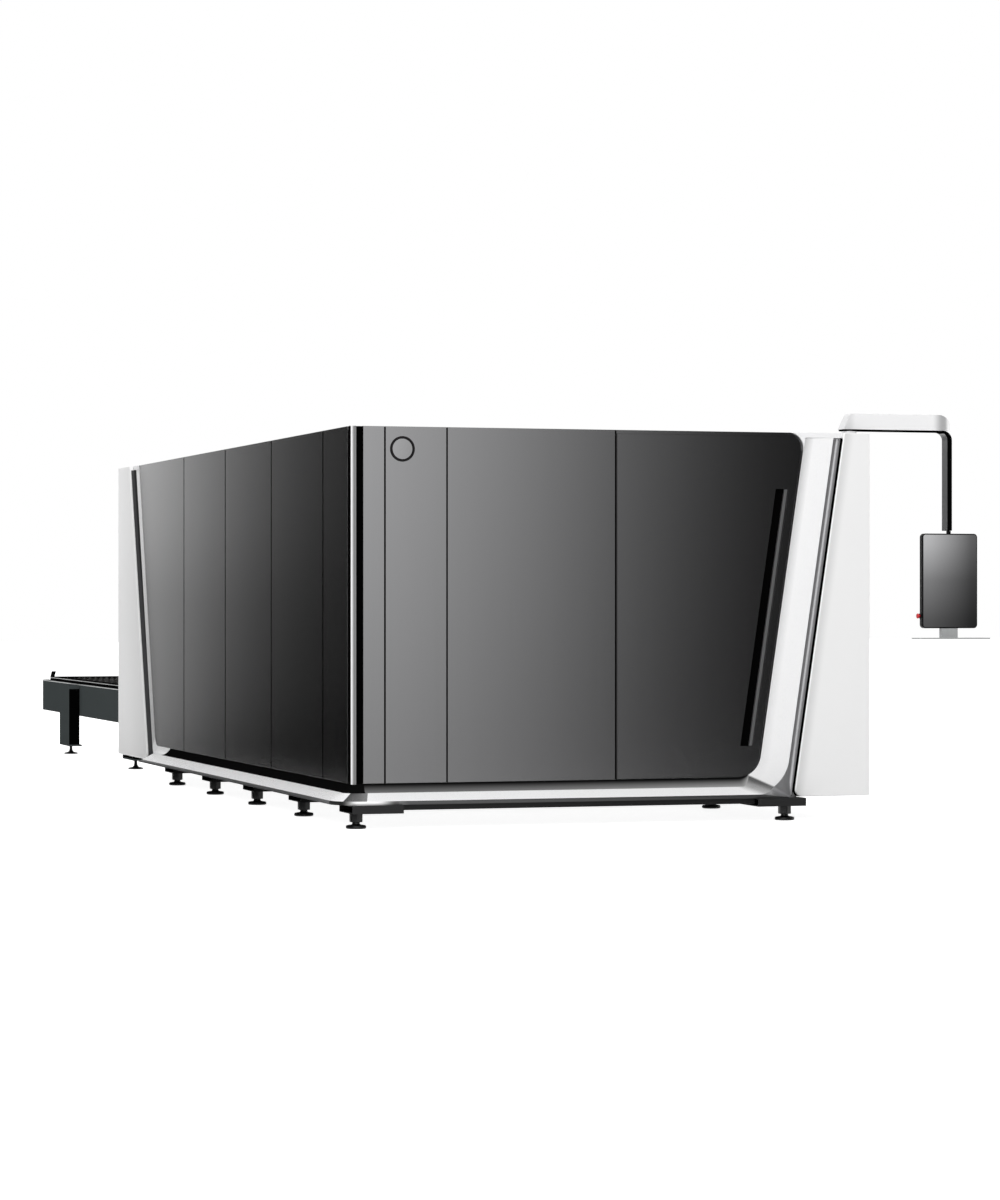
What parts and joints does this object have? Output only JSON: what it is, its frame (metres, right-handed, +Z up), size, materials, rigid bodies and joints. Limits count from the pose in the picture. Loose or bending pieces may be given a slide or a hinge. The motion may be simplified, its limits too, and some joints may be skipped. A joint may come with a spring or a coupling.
{
  "type": "fiber laser cutting machine",
  "caption": "Fully enclosed flat-sheet fiber laser cutter with a sliding front door, a swivelling operator panel and a two-level pallet exchange table behind it.",
  "frame": {"origin": "on the floor under the middle of the whole machine's bounding box", "axes": "+X to the right along the front (door) face, +Y from the front face back to the exchange table, +Z up"},
  "size_m": [3.938, 11.334, 2.318],
  "materials": {
    "dark_paint": "satin dark grey metallic paint",
    "white_paint": "satin white powder coat",
    "black_paint": "black powder coat",
    "black_steel": "blackened steel",
    "table_paint": "satin green-grey powder coat",
    "slat_steel": "dark plasma-cut steel",
    "bare_aluminium": "satin anodised",
    "grey_paint": "satin grey",
    "ground_steel": "ground",
    "nozzle_copper": "bright",
    "black_ring": "gloss black",
    "seal_rubber": "matt",
    "screen_glass": "dark glossy front",
    "stop_red": "gloss red"
  },
  "bodies": {
    "machine": {"levelling_feet": "black_steel", "foot_brackets": "black_paint", "bed_frame": "black_paint", "pallet_rails": "ground_steel", "table_frame": "table_paint", "table_feet": "black_steel", "front_base_rail": "black_paint", "sill_front": "white_paint", "sill_left": "white_paint", "sill_corner": "white_paint", "panel_rails": "black_paint", "enclosure_frame": "black_paint", "corner_strip": "bare_aluminium", "corner_post": "black_paint", "front_panel_1": "dark_paint", "front_panel_2": "dark_paint", "front_panel_3": "dark_paint", "front_top_rail": "black_paint", "door_seal": "seal_rubber", "left_panels": "dark_paint", "front_band": "white_paint", "front_groove": "grey_paint", "front_outer_panel": "white_paint", "left_band": "white_paint", "left_groove": "grey_paint", "left_outer_panel": "white_paint", "rear_wall": "white_paint", "right_wall": "white_paint", "roof_panels": "white_paint", "badge_ring": "black_ring", "badge_disc": "bare_aluminium", "door_rail": "ground_steel", "control_cabinet": "black_paint", "laser_source": "black_paint", "bed_guides": "ground_steel", "arm_pedestal": "black_paint"},
    "door": {"door_carriages": "ground_steel", "door_leaf": "dark_paint", "door_handle_channel": "black_paint", "door_handle_bar": "grey_paint"},
    "gantry": {"gantry_beam": "bare_aluminium", "gantry_saddles": "grey_paint"},
    "carriage": {"carriage": "grey_paint"},
    "head": {"head_slide": "grey_paint", "cutting_head": "ground_steel", "nozzle": "nozzle_copper"},
    "upper_pallet": {"upper_pallet": "table_paint", "upper_slats": "slat_steel"},
    "lower_pallet": {"lower_pallet": "table_paint", "lower_slats": "slat_steel"},
    "upper_wheels_near": {"upper_wheels_near": "ground_steel"},
    "upper_wheels_far": {"upper_wheels_far": "ground_steel"},
    "lower_wheels_near": {"lower_wheels_near": "ground_steel"},
    "lower_wheels_far": {"lower_wheels_far": "ground_steel"},
    "arm": {"arm_beam": "grey_paint", "arm_cover": "white_paint"},
    "monitor": {"monitor_housing": "black_paint", "screen": "screen_glass", "keyboard_tray": "grey_paint"},
    "stop_button": {"estop_button": "stop_red"}
  },
  "joints": [
    {"name": "door_slide", "type": "slide", "parent": "machine", "child": "door", "axis": [-1, 0, 0], "range_m": [0, 0.92]},
    {"name": "gantry_slide", "type": "slide", "parent": "machine", "child": "gantry", "axis": [0, 1, 0], "range_m": [0, 4.1]},
    {"name": "carriage_slide", "type": "slide", "parent": "gantry", "child": "carriage", "axis": [1, 0, 0], "range_m": [0, 1.74]},
    {"name": "head_lift", "type": "slide", "parent": "carriage", "child": "head", "axis": [0, 0, 1], "range_m": [-0.13, 0.12]},
    {"name": "upper_pallet_slide", "type": "slide", "parent": "machine", "child": "upper_pallet", "axis": [0, -1, 0], "range_m": [0, 5.6]},
    {"name": "lower_pallet_slide", "type": "slide", "parent": "machine", "child": "lower_pallet", "axis": [0, 1, 0], "range_m": [0, 5.6]},
    {"name": "upper_wheels_near_roll", "type": "hinge", "parent": "upper_pallet", "child": "upper_wheels_near", "pos_m": [-0.579, 1.817, 0.5483], "axis": [1, 0, 0], "range_deg": [0, 17836]},
    {"name": "upper_wheels_far_roll", "type": "hinge", "parent": "upper_pallet", "child": "upper_wheels_far", "pos_m": [-0.579, 5.117, 0.5483], "axis": [1, 0, 0], "range_deg": [0, 17836]},
    {"name": "lower_wheels_near_roll", "type": "hinge", "parent": "lower_pallet", "child": "lower_wheels_near", "pos_m": [-0.579, -3.783, 0.3833], "axis": [-1, 0, 0], "range_deg": [0, 17836]},
    {"name": "lower_wheels_far_roll", "type": "hinge", "parent": "lower_pallet", "child": "lower_wheels_far", "pos_m": [-0.579, -0.483, 0.3833], "axis": [-1, 0, 0], "range_deg": [0, 17836]},
    {"name": "arm_swivel", "type": "hinge", "parent": "machine", "child": "arm", "pos_m": [1.116, -5.443, 2.218], "axis": [0, 0, 1], "range_deg": [-90, 45]},
    {"name": "monitor_swivel", "type": "hinge", "parent": "arm", "child": "monitor", "pos_m": [1.743, -5.443, 1.65], "axis": [0, 0, 1], "range_deg": [-60, 60]},
    {"name": "stop_button_push", "type": "slide", "parent": "monitor", "child": "stop_button", "axis": [1, 0, 0], "range_m": [0, 0.006], "stiffness_N_per_m": 1500}
  ],
  "couplings": [
    {"joint": "lower_pallet_slide", "follows": "upper_pallet_slide", "ratio": 1},
    {"joint": "upper_wheels_near_roll", "follows": "upper_pallet_slide", "rad_per_m": 55.556},
    {"joint": "upper_wheels_far_roll", "follows": "upper_pallet_slide", "rad_per_m": 55.556},
    {"joint": "lower_wheels_near_roll", "follows": "upper_pallet_slide", "rad_per_m": 55.556},
    {"joint": "lower_wheels_far_roll", "follows": "upper_pallet_slide", "rad_per_m": 55.556}
  ]
}
